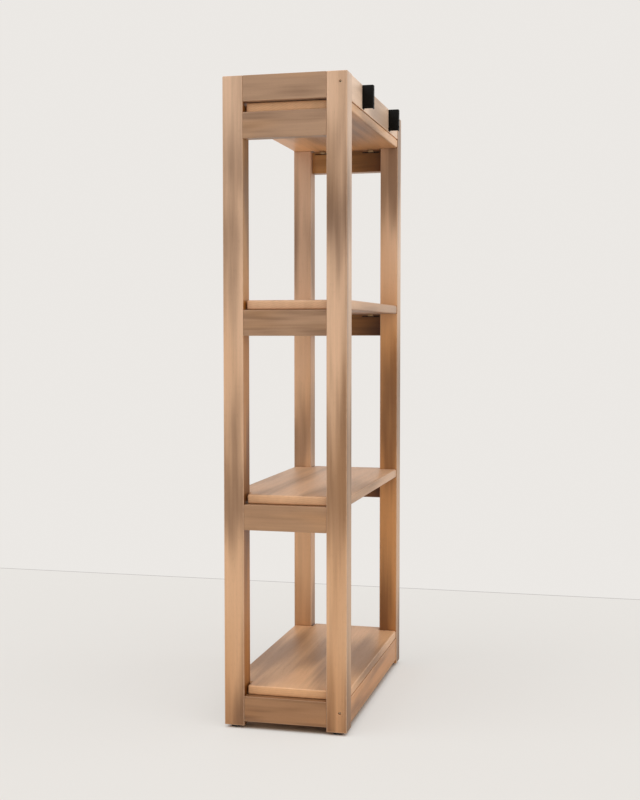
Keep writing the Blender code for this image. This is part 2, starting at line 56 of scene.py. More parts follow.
# %% [markdown]
# ## Camera
#
# The photograph looks at the right-hand end of the unit, from a little behind it and slightly downwards. A
# camera in Blender looks along its own -Z. So the direction of view is worked out from a turn about Z and a
# small dip, and `to_track_quat` turns the camera that way with its top upwards.

# %% Camera
CAMERA_PLACE = Vector((4.0932, 0.99707, 1.22586))
CAMERA_TURN = math.radians(13.913)
CAMERA_DIP = math.radians(3.012)
CAMERA_LENS = 55.956

camera = bpy.data.objects.new("camera", bpy.data.cameras.new("camera"))
look = Vector((-math.cos(CAMERA_TURN) * math.cos(CAMERA_DIP), -math.sin(CAMERA_TURN) * math.cos(CAMERA_DIP),
               -math.sin(CAMERA_DIP)))
camera.location = CAMERA_PLACE
camera.rotation_euler = look.to_track_quat("-Z", "Y").to_euler()
camera.data.lens = CAMERA_LENS
camera.data.sensor_width = 36
camera.data.clip_start = 0.05
bpy.context.scene.collection.objects.link(camera)
bpy.context.scene.camera = camera
print("camera looks along", tuple(round(part, 3) for part in look))

# %% [markdown]
# ## Node helpers
#
# A material is a graph of nodes. Written out in full, each node takes a line to make it, some lines to set it
# and one line for each wire. These helpers make a node and fill its sockets in one call: a value that is
# itself a socket is linked, and any other value is typed in.

# %% Node helpers
def fill_socket(tree, socket, value):
    """Link a socket, or type a value into it."""
    if isinstance(value, bpy.types.NodeSocket):
        tree.links.new(value, socket)
    else:
        socket.default_value = value


def fill_node(tree, node, **sockets):
    """Fill a node's inputs by name."""
    for name, value in sockets.items():
        fill_socket(tree, node.inputs[name.replace("_", " ")], value)


def add_node(tree, kind, settings=None, values=(), **sockets):
    """Add a node, set its properties, and fill its inputs in order or by name."""
    node = tree.nodes.new("ShaderNode" + kind)
    for name, value in (settings or {}).items():
        setattr(node, name, value)
    for socket, value in zip(node.inputs, values):
        fill_socket(tree, socket, value)
    fill_node(tree, node, **sockets)
    return node


def maths(tree, operation, first, second=0.0):
    """A Math node; returns its output."""
    return add_node(tree, "Math", {"operation": operation}, (first, second)).outputs[0]


def weighted_sum(tree, values, weights):
    """Math nodes that add up some values, each times its weight; returns the sum."""
    total = 0.0
    for value, weight in zip(values, weights):
        total = add_node(tree, "Math", {"operation": "MULTIPLY_ADD"}, (value, weight, total)).outputs[0]
    return total


def vector_maths(tree, operation, first, second=(0, 0, 0)):
    """A Vector Math node; returns its vector."""
    return add_node(tree, "VectorMath", {"operation": operation}, (first, second)).outputs[0]


def noise(tree, vector, scale, detail=2.0, roughness=0.5, distortion=0.0):
    """A Noise Texture whose scale is three numbers, one for each axis; returns its value."""
    place = vector_maths(tree, "MULTIPLY", vector, scale)
    return add_node(tree, "TexNoise", Vector=place, Scale=1.0, Detail=detail, Roughness=roughness,
                    Distortion=distortion).outputs[0]


def remap(tree, value, low, high, out_low=0.0, out_high=1.0, smooth=True):
    """A Map Range node that is clamped; returns its output."""
    kind = "SMOOTHSTEP" if smooth else "LINEAR"
    node = add_node(tree, "MapRange", {"interpolation_type": kind}, Value=value, From_Min=low, From_Max=high,
                    To_Min=out_low, To_Max=out_high)
    return node.outputs["Result"]


def mixed(tree, factor, first, second, blend="MIX"):
    """A Mix node for colours; returns its colour."""
    node = add_node(tree, "Mix", {"data_type": "RGBA", "blend_type": blend})
    fill_socket(tree, node.inputs[0], factor)
    fill_socket(tree, node.inputs[6], first)
    fill_socket(tree, node.inputs[7], second)
    return node.outputs[2]


def new_group(name, inputs, outputs):
    """Start a node group with named sockets; returns its tree, its inputs and its output node."""
    tree = bpy.data.node_groups.new(name, "ShaderNodeTree")
    for socket_name, kind, value in inputs:
        socket = tree.interface.new_socket(socket_name, in_out="INPUT", socket_type="NodeSocket" + kind)
        socket.default_value = value
    for socket_name, kind in outputs:
        tree.interface.new_socket(socket_name, in_out="OUTPUT", socket_type="NodeSocket" + kind)
    return tree, tree.nodes.new("NodeGroupInput").outputs, tree.nodes.new("NodeGroupOutput")


def use_group(tree, group, **sockets):
    """Place a node group in a tree and fill its inputs; returns its outputs."""
    return add_node(tree, "Group", {"node_tree": group}, **sockets).outputs


def new_material(name):
    """A material with its Principled shader; returns the material, its tree and the shader."""
    material = bpy.data.materials.new(name)
    material.use_nodes = True
    tree = material.node_tree
    return material, tree, tree.nodes["Principled BSDF"]


print("helpers ready")

# %% [markdown]
# ## The timber as a node group
#
# Every board on this unit is the same kind of wood: peach-tan, with long soft grey-brown patches that run
# with the grain. Twenty boards use it, so it's built once as a node group. Its vector has the grain along Z.
# A texture becomes grain when it's stretched: the coordinates across the grain are multiplied by a large
# number and those along it by a small one. The layers are stacked from coarse to fine: broad and narrow
# patches, streaks a few millimetres wide, growth rings round a distant pith, fibres, and short dark pores. A
# wave along the grain, whose period and place are sockets, makes the patches darker at chosen heights.

# %% Streaked wood
BROAD_SCALE = (17, 17, 2.3)
NARROW_SCALE = (60, 60, 2.6)
STREAK_SCALE = (105, 105, 1.9)
WARMTH_SCALE = (9, 9, 1.7)
RING_STRETCH = (1, 1, 0.06)
FIBRE_SCALE = (900, 900, 12)
PORE_SCALE = (1500, 1500, 45)
RING_SCALE = 75
PATCH_RANGE = (0.64, 1.32)
WARM_RANGE = (0.45, 0.75)
PORE_RANGE = (0.68, 0.76)

# On the sides and on end grain the layers have different strengths.
END_PATCHES = 0.35
SIDE_WARMTH = 0.30
END_WARMTH = 0.32
SIDE_RINGS = 0.02
END_RINGS = 0.10

# Weights of broad patches, narrow ones and the wave; of streaks, fibres and pores; of all faces and of end
# grain; of all faces, fibres and pores; and of fibres, rings and pores.
PATCH_WEIGHTS = (1.3, 0.42, 0.26)
LINE_WEIGHTS = (0.20, 0.10, 0.14)
SHADE_WEIGHTS = (1.16, 0.12)
ROUGH_WEIGHTS = (0.34, 0.14, 0.12)
HEIGHT_WEIGHTS = (0.5, 0.25, -0.6)


def make_streaked_wood():
    """A node group for timber with its grain along Z; puts out its colour, roughness and height."""
    tree, ins, out = new_group("streaked_wood", [
        ("Vector", "Vector", (0, 0, 0)), ("Light", "Color", (0.6, 0.38, 0.25, 1)),
        ("Dark", "Color", (0.25, 0.15, 0.10, 1)), ("Warm", "Color", (0.55, 0.28, 0.12, 1)),
        ("Streaks", "Float", 0.8), ("Period", "Float", 0.8), ("Phase", "Float", 0.0),
        ("Banding", "Float", 0.5), ("End", "Float", 0.0), ("Tint", "Color", (1, 1, 1, 1))],
        [("Color", "Color"), ("Roughness", "Float"), ("Height", "Float")])
    vector = ins["Vector"]
    along = add_node(tree, "SeparateXYZ", Vector=vector).outputs["Z"]
    side = maths(tree, "SUBTRACT", 1.0, ins["End"])

    broad = noise(tree, vector, BROAD_SCALE, detail=1.5, roughness=0.4, distortion=0.2)
    narrow = noise(tree, vector, NARROW_SCALE)
    turns = maths(tree, "DIVIDE", maths(tree, "SUBTRACT", along, ins["Phase"]), ins["Period"])
    wave = maths(tree, "COSINE", maths(tree, "MULTIPLY", turns, 2 * math.pi))
    banded = maths(tree, "MULTIPLY", wave, ins["Banding"])
    patches = remap(tree, weighted_sum(tree, (broad, narrow, banded), PATCH_WEIGHTS), *PATCH_RANGE)
    patches = maths(tree, "MULTIPLY", patches, remap(tree, side, 0.0, 1.0, END_PATCHES, 1.0))
    colour = mixed(tree, maths(tree, "MULTIPLY", patches, ins["Streaks"]), ins["Light"], ins["Dark"])
    warmth = remap(tree, noise(tree, vector, WARMTH_SCALE, detail=1), *WARM_RANGE, 0.0, SIDE_WARMTH)
    warmth = maths(tree, "MAXIMUM", warmth, maths(tree, "MULTIPLY", ins["End"], END_WARMTH))
    colour = mixed(tree, warmth, colour, ins["Warm"])

    streak = noise(tree, vector, STREAK_SCALE, detail=3, roughness=0.6)
    ring_space = vector_maths(tree, "MULTIPLY", vector, RING_STRETCH)
    rings = add_node(tree, "TexWave", {"wave_type": "RINGS", "rings_direction": "Z"}, Vector=ring_space,
                     Scale=RING_SCALE, Distortion=5, Detail=2, Detail_Scale=0.22).outputs[1]
    fibre = noise(tree, vector, FIBRE_SCALE, detail=2, roughness=0.6)
    pores = remap(tree, noise(tree, vector, PORE_SCALE, detail=0), *PORE_RANGE)
    ring_depth = remap(tree, side, 0.0, 1.0, END_RINGS, SIDE_RINGS)
    lines = weighted_sum(tree, (streak, fibre, pores, rings), (*LINE_WEIGHTS, ring_depth))
    shade = maths(tree, "SUBTRACT", weighted_sum(tree, (1.0, ins["End"]), SHADE_WEIGHTS), lines)
    grey = add_node(tree, "CombineColor", Red=shade, Green=shade, Blue=shade).outputs[0]
    tinted = mixed(tree, 1.0, colour, ins["Tint"], "MULTIPLY")
    fill_node(tree, out, Color=mixed(tree, 1.0, tinted, grey, "MULTIPLY"),
              Roughness=weighted_sum(tree, (1.0, fibre, pores), ROUGH_WEIGHTS),
              Height=weighted_sum(tree, (fibre, rings, pores), HEIGHT_WEIGHTS))
    return tree


STREAKED_WOOD = make_streaked_wood()
print("streaked wood:", len(STREAKED_WOOD.nodes), "nodes")

# %% [markdown]
# ## Worn edges and painted shade in recesses
#
# On a real board the corners are rubbed a little paler than the faces. A board is a box, so the distance to
# its nearest corner edge can be worked out from the place alone: of the three distances to the box's faces, a
# point on the surface has a zero, and the second smallest is its distance to the nearest edge. In a slot or a
# hole even the smallest of the three is more than zero. That masks the recesses, where the timber of an end
# rail is darkened with painted shade.

# %% Edge wear
RAGGED_SCALE = (60, 60, 60)
LEAST_REACH = 0.3
RECESS_DEPTHS = (0.0015, 0.004)


def make_edge_wear_and_recess():
    """A node group that masks the edges and the recesses of a box centred on zero, given its half sizes."""
    tree, ins, out = new_group("edge_wear_and_recess_masks", [
        ("Vector", "Vector", (0, 0, 0)), ("Half Size", "Vector", (0.5, 0.5, 0.5)), ("Width", "Float", 0.004)],
        [("Mask", "Float"), ("Recess", "Float")])
    gap = vector_maths(tree, "SUBTRACT", ins["Half Size"], vector_maths(tree, "ABSOLUTE", ins["Vector"]))
    a, b, c = add_node(tree, "SeparateXYZ", Vector=gap).outputs
    smaller = maths(tree, "MINIMUM", a, b)
    larger = maths(tree, "MAXIMUM", a, b)
    second = maths(tree, "MAXIMUM", smaller, maths(tree, "MINIMUM", larger, c))
    ragged = noise(tree, ins["Vector"], RAGGED_SCALE, detail=3)
    reach = maths(tree, "MULTIPLY", ins["Width"], maths(tree, "ADD", ragged, LEAST_REACH))
    share = maths(tree, "DIVIDE", second, reach)
    smallest = maths(tree, "MINIMUM", smaller, c)
    fill_node(tree, out, Mask=remap(tree, share, 1.0, 0.0), Recess=remap(tree, smallest, *RECESS_DEPTHS))
    return tree


EDGE_WEAR_AND_RECESS = make_edge_wear_and_recess()
print("edge wear:", len(EDGE_WEAR_AND_RECESS.nodes), "nodes")

# %% [markdown]
# ## A material for each board
#
# Boards in one piece of furniture never come from the same spot in the tree, so each board gets its own
# material: the same group, moved to another part of the pattern. Coordinates are the object's own, which here
# are metres in the room, and Mapping nodes centre them on the board, turn its length to Z, and shift them.
#
# Tints then follow the photograph. Wood is warmer and darker low down, and darker still near the floor, which
# is painted shade. The sides that face into the unit get painted shade, on one post partly painted light, and
# the gaps between posts and shelf ends a deeper painted shade. The back faces of the back posts and of the top
# back rail are lightened and blued as painted sheen. Each side has a pair of tints and fades from one to the
# other: down an upright board, and towards the unit's back on others.

# %% Timber materials
LEVELS = ("bottom", "lower_middle", "upper_middle", "top")
SIDES = {"right": 1, "left": -1}
ENDS = {"front": -1, "back": 1}
TURN_TO_Z = {"X": (0, -math.pi / 2, 0), "Y": (math.pi / 2, 0, 0), "Z": (0, 0, 0)}
LIGHT_WOOD = (0.70, 0.455, 0.300, 1)
WARM_WOOD = (0.60, 0.325, 0.150, 1)
DARK_WOOD = (0.165, 0.085, 0.044, 1)
END_RAIL_WOOD = (0.42, 0.255, 0.155, 1)
LOW_RAIL_WOOD = (0.70, 0.405, 0.220, 1)
TOP_RAIL_WOOD = (0.85, 0.565, 0.375, 1)
LOW_SHELF_WOOD = (0.86, 0.59, 0.405, 1)
TOP_SHELF_WOOD = (0.88, 0.525, 0.290, 1)
LOW_TINT = (0.97, 0.87, 0.72, 1)
# The tints below are painted light and shade: shade near the floor, in recesses, in gaps, on inner sides and
# undersides, some light on one post, and sheen on back faces.
FLOOR_SHADE_TINT = (0.82, 0.75, 0.67, 1)
RECESS_SHADE_TINT = (0.22, 0.14, 0.08, 1)
GAP_SHADE_TINT = (0.50, 0.29, 0.07, 1)
INNER_SHADE_TINTS = ((0.79, 0.64, 0.38, 1), (0.73, 0.51, 0.22, 1))
FAR_FRONT_LIGHT_SHADE_TINTS = ((0.94, 0.94, 0.94, 1), (1.05, 1.04, 1.0, 1))
FAR_BACK_LIGHT_SHADE_TINTS = ((1.2, 1.2, 1.17, 1), (0.96, 0.77, 0.49, 1))
UNDERSIDE_SHADE_TINTS = ((0.89, 0.78, 0.64, 1), (0.64, 0.55, 0.45, 1))
RAIL_INNER_SHADE_TINTS = ((1.12, 0.95, 0.55, 1), (0.25, 0.145, 0.045, 1))
# Painted light and sheen for the back faces.
PAINTED_SHEEN_TINT = (1.12, 1.22, 1.34, 1)
POST_SHEEN_TINTS = (PAINTED_SHEEN_TINT, (0.84, 0.90, 0.97, 1))

# In metres: the heights, then the depths, that tints fade over; the step and the first middle of the shelves'
# heights, and how far from a middle the painted shade of a gap reaches; and the width of worn edges.
LOW_TINT_TOP = 2.0
FLOOR_SHADE_TOP = 0.45
TINT_FALL = (1.5, 1.15)
TINT_DEPTHS = (-0.15, 0.15)
SHELF_STEP = 0.599
SHELF_MIDDLE = 0.1183
GAP_SHADE_REACH = (0.017, 0.013)
EDGE_WIDTH = 0.005

# How much of a face's direction has to agree before a side's tint of painted light and shade or the look of
# end grain sets in, and how much of the streaks the worn edges lose.
SIDE_RANGE = (0.3, 0.75)
END_RANGE = (0.6, 0.85)
EDGE_PALENESS = 0.5


def facing(tree, normal, direction):
    """A mask of the faces that look along a direction."""
    dot = add_node(tree, "VectorMath", {"operation": "DOT_PRODUCT"}, (normal, direction))
    return remap(tree, dot.outputs["Value"], *SIDE_RANGE)


def wood_material(node_name, grain, shift, streaks, banding=0.0, period=0.8, phase=0.0, light=LIGHT_WOOD,
                  inward=(0, 0, 0), inner_light_shade_tints=INNER_SHADE_TINTS, outward=(0, 0, 0),
                  outer_sheen_tints=(PAINTED_SHEEN_TINT, PAINTED_SHEEN_TINT), figure=1.0):
    """Timber for one board: the axis of its grain, its part of the tree, and the tints of painted light and
    shade on its two sides.

    A figure over 1 makes the pattern smaller, for a short board, and one under 1 makes it larger.
    """
    low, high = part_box(node_name)
    centre, half = (low + high) / 2, (high - low) / 2
    material, tree, shader = new_material(node_name + "_timber")
    coords = add_node(tree, "TexCoord").outputs
    place, normal = coords["Object"], coords["Normal"]
    centred = add_node(tree, "Mapping", Vector=place, Location=-centre).outputs[0]
    upright = add_node(tree, "Mapping", Vector=centred, Rotation=TURN_TO_Z[grain]).outputs[0]
    moved = add_node(tree, "Mapping", Vector=upright, Location=shift, Scale=(figure,) * 3).outputs[0]
    along = maths(tree, "ABSOLUTE", add_node(tree, "SeparateXYZ", Vector=normal).outputs[grain])
    end = remap(tree, along, *END_RANGE)
    _, depth, height = add_node(tree, "SeparateXYZ", Vector=place).outputs
    tint = mixed(tree, remap(tree, height, LOW_TINT_TOP, 0.0), (1, 1, 1, 1), LOW_TINT)
    # Darker still near the floor: painted shade.
    tint = mixed(tree, remap(tree, height, FLOOR_SHADE_TOP, 0.0), tint, FLOOR_SHADE_TINT, "MULTIPLY")
    if grain == "Z":
        change = remap(tree, height, *TINT_FALL)
        # Round each shelf's middle height, where the shelf ends meet the posts, the posts' inner faces get a
        # deeper painted shade.
        level = maths(tree, "PINGPONG", maths(tree, "SUBTRACT", height, SHELF_MIDDLE), SHELF_STEP / 2)
        gap = remap(tree, level, *GAP_SHADE_REACH)
    else:
        change = remap(tree, depth, *TINT_DEPTHS)
        gap = 0.0
    # The sides that face into the unit get painted shade that fades along the board, partly painted light on
    # one post, and a deeper painted shade in the gaps.
    inner_light_shade = mixed(tree, gap, mixed(tree, change, *inner_light_shade_tints), GAP_SHADE_TINT)
    tint = mixed(tree, facing(tree, normal, inward), tint, inner_light_shade, "MULTIPLY")
    # The back faces are lightened and blued: painted light and sheen.
    outer_sheen = mixed(tree, change, *outer_sheen_tints)
    tint = mixed(tree, facing(tree, normal, outward), tint, outer_sheen, "MULTIPLY")
    wood = use_group(tree, STREAKED_WOOD, Vector=moved, Light=light, Dark=DARK_WOOD, Warm=WARM_WOOD,
                     Streaks=streaks, Period=period, Phase=phase, Banding=banding, End=end, Tint=tint)
    wear_and_recess = use_group(tree, EDGE_WEAR_AND_RECESS, Vector=centred, Half_Size=half, Width=EDGE_WIDTH)
    pale = mixed(tree, EDGE_PALENESS, wood["Color"], light)
    colour = mixed(tree, wear_and_recess["Mask"], wood["Color"], pale)
    # Recesses in the end rails are darkened: painted shade.
    if grain == "Y":
        colour = mixed(tree, wear_and_recess["Recess"], colour, RECESS_SHADE_TINT, "MULTIPLY")
    bump = add_node(tree, "Bump", Strength=0.25, Distance=0.0004, Height=wood["Height"])
    fill_node(tree, shader, Base_Color=colour, Roughness=wood["Roughness"], Specular_IOR_Level=0.4,
              Normal=bump.outputs[0])
    return material


def dress(node_name, material):
    """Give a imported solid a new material."""
    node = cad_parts[node_name]
    node.data.materials.clear()
    node.data.materials.append(material)


# %% Posts
# For each post: the shift of its pattern, the strength of its streaks, the period of its dark patches, the
# height of one of them, and the tints of painted light and shade on its two inner sides.
POST_LOOKS = {
    "right_front": ((0.31, 0.12, 0.0), 0.80, 0.83, 0.765, INNER_SHADE_TINTS),
    "right_back": ((0.52, 0.27, 0.0), 0.94, 0.857, 0.807, INNER_SHADE_TINTS),
    "left_front": ((0.17, 0.93, 0.0), 0.70, 0.665, 0.87, FAR_FRONT_LIGHT_SHADE_TINTS),
    "left_back": ((0.42, 0.55, 0.0), 0.82, 0.90, 0.98, FAR_BACK_LIGHT_SHADE_TINTS),
}
POST_MIDDLE = 1.0
for corner, (shift, streaks, period, dark_height, inner_light_shade_tints) in POST_LOOKS.items():
    name = corner + "_post"
    side, end = corner.split("_")
    timber = wood_material(name, "Z", shift, streaks, 1.0, period, dark_height - POST_MIDDLE,
                           inward=(-SIDES[side], -ENDS[end], 0), inner_light_shade_tints=inner_light_shade_tints,
                           outward=(0, 1 if end == "back" else 0, 0), outer_sheen_tints=POST_SHEEN_TINTS)
    dress(name, timber)
print("posts dressed:", len(POST_LOOKS))

# %% Rails
RAIL_FIGURE = 2.0
RAIL_STREAKS = {"bottom": 0.97, "lower_middle": 0.4, "upper_middle": 0.9, "top": 0.75, "cap": 0.55}
for number, (side, sign) in enumerate(SIDES.items()):
    for step, (level, streaks) in enumerate(RAIL_STREAKS.items()):
        name = f"{side}_top_rail" if level == "cap" else f"{side}_{level}_shelf_rail"
        shift = (0.13 * step + 0.05, 0.21 * number + 0.33, 0.0)
        timber = wood_material(name, "Y", shift, streaks, light=END_RAIL_WOOD, inward=(-sign, 0, 0),
                               inner_light_shade_tints=RAIL_INNER_SHADE_TINTS, figure=RAIL_FIGURE)
        dress(name, timber)
timber = wood_material("bottom_back_rail", "X", (0.4, 0.6, 0.3), 0.8, light=LOW_RAIL_WOOD, inward=(0, -1, 0))
dress("bottom_back_rail", timber)
timber = wood_material("top_back_rail", "X", (0.55, 0.2, 0.0), 0.6, banding=0.8, period=0.9, phase=-0.07,
                       light=TOP_RAIL_WOOD, inward=(0, -1, 0), outward=(0, 1, 0))
dress("top_back_rail", timber)
print("timbers for posts and rails:", len(bpy.data.materials))

# %% [markdown]
# ## Finishes for the metal and plastic
#
# The small finishes share one group for fine surface relief: a noise that roughens the height and the
# roughness at a size given in real millimetres. Powder coat has a soft orange-peel skin. Zinc plate is finely
# dulled: yellow on the bolts; on the clips it is a darker copy of the yellow zinc, which is painted shade. A
# moulded pad has a matt spark-eroded skin.

# %% Fine surface and the small finishes
DULL_RANGE = (0.42, 0.70)
SPOT_SCALE = 90.0


def make_fine_surface():
    """A node group for small even relief; puts out a height and a mask of dull spots."""
    tree, ins, out = new_group("fine_surface", [
        ("Vector", "Vector", (0, 0, 0)), ("Grain", "Float", 2000.0), ("Spots", "Float", 60.0)],
        [("Height", "Float"), ("Dull", "Float")])
    skin = add_node(tree, "TexNoise", Vector=ins["Vector"], Scale=ins["Grain"], Detail=2)
    spots = add_node(tree, "TexNoise", Vector=ins["Vector"], Scale=ins["Spots"], Detail=4, Roughness=0.65)
    fill_node(tree, out, Height=skin.outputs[0], Dull=remap(tree, spots.outputs[0], *DULL_RANGE))
    return tree


FINE_SURFACE = make_fine_surface()


def small_finish(name, colours, roughness, metallic, grain, relief, specular=0.5):
    """A finish whose colour and roughness drift between pairs of values over a finely grained skin."""
    material, tree, shader = new_material(name)
    place = add_node(tree, "TexCoord").outputs["Object"]
    skin = use_group(tree, FINE_SURFACE, Vector=place, Grain=grain, Spots=SPOT_SCALE)
    bump = add_node(tree, "Bump", Strength=0.3, Distance=relief, Height=skin["Height"])
    fill_node(tree, shader, Base_Color=mixed(tree, skin["Dull"], *colours), Metallic=metallic,
              Roughness=remap(tree, skin["Dull"], 0.0, 1.0, *roughness, False),
              Specular_IOR_Level=specular, Normal=bump.outputs[0])
    return material


BLACKS = ((0.0030, 0.0026, 0.0022, 1), (0.005, 0.0044, 0.0038, 1))
ZINCS = ((0.66, 0.64, 0.59, 1), (0.50, 0.48, 0.43, 1))
YELLOW_ZINCS = ((0.80, 0.62, 0.42, 1), (0.62, 0.47, 0.30, 1))
SHADED_ZINCS = ((0.43, 0.29, 0.165, 1), (0.30, 0.20, 0.115, 1))
BRASSES = ((0.72, 0.52, 0.24, 1), (0.50, 0.34, 0.15, 1))
PLASTICS = ((0.014, 0.014, 0.014, 1), (0.024, 0.023, 0.022, 1))
POWDER_COAT = small_finish("black_powder_coat", BLACKS, (0.42, 0.56), 0.0, grain=1400.0, relief=0.0001,
                           specular=0.10)
ZINC_PLATE = small_finish("zinc_plate", ZINCS, (0.26, 0.42), 1.0, grain=3000.0, relief=0.00003)
YELLOW_ZINC = small_finish("yellow_zinc", YELLOW_ZINCS, (0.36, 0.50), 1.0, grain=3000.0, relief=0.00003)
# The clips' zinc is a darker copy of the yellow zinc: painted shade.
SHADED_ZINC = small_finish("shaded_zinc", SHADED_ZINCS, (0.40, 0.55), 1.0, grain=3000.0, relief=0.00003)
TURNED_BRASS = small_finish("turned_brass", BRASSES, (0.28, 0.45), 1.0, grain=2500.0, relief=0.00003)
FOOT_PLASTIC = small_finish("black_foot_plastic", PLASTICS, (0.48, 0.62), 0.0, grain=2600.0, relief=0.00008)
print("materials with the small finishes:", len(bpy.data.materials))

# %% [markdown]
# ## Tools for turned and threaded parts
#
# Studs, bolts, screws and pads are all lathe work. Half of the outline is drawn as a chain of edges beside
# the axis, and `bmesh.ops.spin` carries it once round Z. A thread is a small closed section that is spun too,
# but climbs by a share of its pitch at each step, and its first and last turns run out to nothing.

# %% Turning and threads
MERGE_DISTANCE = 1e-6

# Shares of a thread's pitch or depth, then of a screw's radius and of its head.
THREAD_FOOT = 0.45
THREAD_FLAT = 0.08
THREAD_BURY = 0.2
SCREW_CORE = 0.68
SCREW_DOME = ((0, 1), (0.5, 0.94), (0.82, 0.7), (1, 0.28), (1, 0))
CROSS_TAPER = 0.55
LOOKS_UP = 0.2


def verts_of(items):
    """The vertices among what an operator gave back."""
    return [item for item in items if isinstance(item, bmesh.types.BMVert)]


def turned(profile, steps=32):
    """Spin a chain of (radius, height) points about Z into a closed skin."""
    bm = bmesh.new()
    verts = [bm.verts.new((radius, 0, height)) for radius, height in profile]
    edges = [bm.edges.new(pair) for pair in zip(verts, verts[1:])]
    bmesh.ops.spin(bm, geom=verts + edges, cent=(0, 0, 0), axis=(0, 0, 1), angle=2 * math.pi, steps=steps,
                   use_merge=True)
    bmesh.ops.remove_doubles(bm, verts=bm.verts, dist=MERGE_DISTANCE)
    return bm


def add_thread(bm, root, crest, pitch, low, high, steps=16):
    """Wind a thread's ridge round Z between two heights."""
    buried = root - THREAD_BURY * (crest - root)
    section = ((buried, -THREAD_FOOT), (crest, -THREAD_FLAT), (crest, THREAD_FLAT), (buried, THREAD_FOOT))
    start, end = low + THREAD_FOOT * pitch, high - THREAD_FOOT * pitch
    count = int((end - start) / pitch * steps)
    before = set(bm.verts)
    ring = [bm.verts.new((radius, 0, start + share * pitch)) for radius, share in section]
    edges = [bm.edges.new((ring[i - 1], ring[i])) for i in range(len(ring))]
    wound = bmesh.ops.spin(bm, geom=ring + edges, cent=(0, 0, 0), axis=(0, 0, 1), steps=count,
                           angle=count / steps * 2 * math.pi, dvec=(0, 0, pitch / steps))
    last = [item for item in wound["geom_last"] if isinstance(item, bmesh.types.BMEdge)]
    bm.faces.new(ring)
    bmesh.ops.contextual_create(bm, geom=last)
    for vert in set(bm.verts) - before:
        run_out = min(1.0, max(0.0, min(vert.co.z - low, high - vert.co.z) / pitch))
        radius = math.hypot(vert.co.x, vert.co.y)
        wanted = buried + (radius - buried) * run_out
        vert.co.x *= wanted / radius
        vert.co.y *= wanted / radius


def sink_cross(bm, above, arm, width, depth):
    """Sink a cross recess into the faces that look up above a height."""
    for normal in (Vector((1, 0, 0)), Vector((0, 1, 0))):
        for distance in (-arm, -width / 2, width / 2, arm):
            faces = [face for face in bm.faces
                     if face.calc_center_median().z > above and face.normal.z > LOOKS_UP]
            geometry = set(faces)
            for face in faces:
                geometry.update(face.edges)
                geometry.update(face.verts)
            bmesh.ops.bisect_plane(bm, geom=list(geometry), plane_co=normal * distance, plane_no=normal)
    inside = []
    for face in bm.faces:
        centre = face.calc_center_median()
        across, along = sorted((abs(centre.x), abs(centre.y)))
        if centre.z > above and face.normal.z > LOOKS_UP and across < width / 2 and along < arm:
            inside.append(face)
    top = max(vert.co.z for vert in bm.verts)
    sunk = bmesh.ops.extrude_face_region(bm, geom=inside)["geom"]
    bmesh.ops.delete(bm, geom=inside, context="FACES")
    for vert in verts_of(sunk):
        vert.co = (vert.co.x * CROSS_TAPER, vert.co.y * CROSS_TAPER, top - depth)


def wood_screw(radius, length, head_radius, head_height):
    """A screw along -Z from its head's seat, with a domed head, a cross recess and a coarse thread."""
    core = SCREW_CORE * radius
    dome = [(across * head_radius, up * head_height) for across, up in SCREW_DOME]
    bm = turned(dome + [(core, 0), (core, -0.8 * length), (0, -length)], steps=24)
    bmesh.ops.recalc_face_normals(bm, faces=bm.faces)
    sink_cross(bm, above=0.4 * head_height, arm=0.56 * head_radius, width=0.24 * head_radius,
               depth=0.55 * head_height)
    add_thread(bm, core, radius, pitch=radius, low=-0.85 * length, high=-0.12 * length, steps=12)
    return bm


# %% [markdown]
# A finished piece's object stays at the origin and its place goes into its mesh, as the imported solids have
# it, so that patterns measured in object coordinates agree from piece to piece. `settle` does that, gives the
# piece its finish, hangs it on an empty for the body it rides on, and hides the solids it stands for.

# %% Settling a piece
SHARP_ANGLE = math.radians(35)


def to_mesh(name, bm):
    """Close a bmesh into a mesh with its faces outwards, smooth but for its sharp corners."""
    bmesh.ops.remove_doubles(bm, verts=bm.verts, dist=MERGE_DISTANCE)
    bmesh.ops.recalc_face_normals(bm, faces=bm.faces)
    mesh = bpy.data.meshes.new(name)
    bm.to_mesh(mesh)
    bm.free()
    mesh.shade_smooth()
    mesh.set_sharp_from_angle(angle=SHARP_ANGLE)
    return mesh


def settle(name, mesh, matrix, material, body, slot, *nodes):
    """Make a piece from a copy of a mesh, in its place, hang it on its body's empty, and hide the solids it
    stands for.
    """
    placed = mesh.copy()
    placed.transform(matrix)
    placed.materials.append(material)
    piece = bpy.data.objects.new(name, placed)
    bpy.context.scene.collection.objects.link(piece)
    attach(piece, body)
    if nodes:
        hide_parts(*nodes)


def shaped(name, bm, *steps):
    """Run modifiers over a bmesh and return the result as a bmesh."""
    scratch = bpy.data.objects.new(name, to_mesh(name, bm))
    bpy.context.scene.collection.objects.link(scratch)
    for kind, settings in steps:
        modifier = scratch.modifiers.new(kind.lower(), kind)
        for key, value in settings.items():
            setattr(modifier, key, value)
    bpy.context.view_layer.update()
    finished = scratch.evaluated_get(bpy.context.evaluated_depsgraph_get())
    result = bmesh.new()
    result.from_mesh(bpy.data.meshes.new_from_object(finished))
    bpy.data.objects.remove(scratch, do_unlink=True)
    return result


def cut_away(name, bm, cutter):
    """Cut one bmesh with another by a Boolean."""
    tool = bpy.data.objects.new(name + "_cutter", to_mesh(name + "_cutter", cutter))
    bpy.context.scene.collection.objects.link(tool)
    result = shaped(name, bm, ("BOOLEAN", {"operation": "DIFFERENCE", "object": tool}))
    bpy.data.objects.remove(tool, do_unlink=True)
    return result


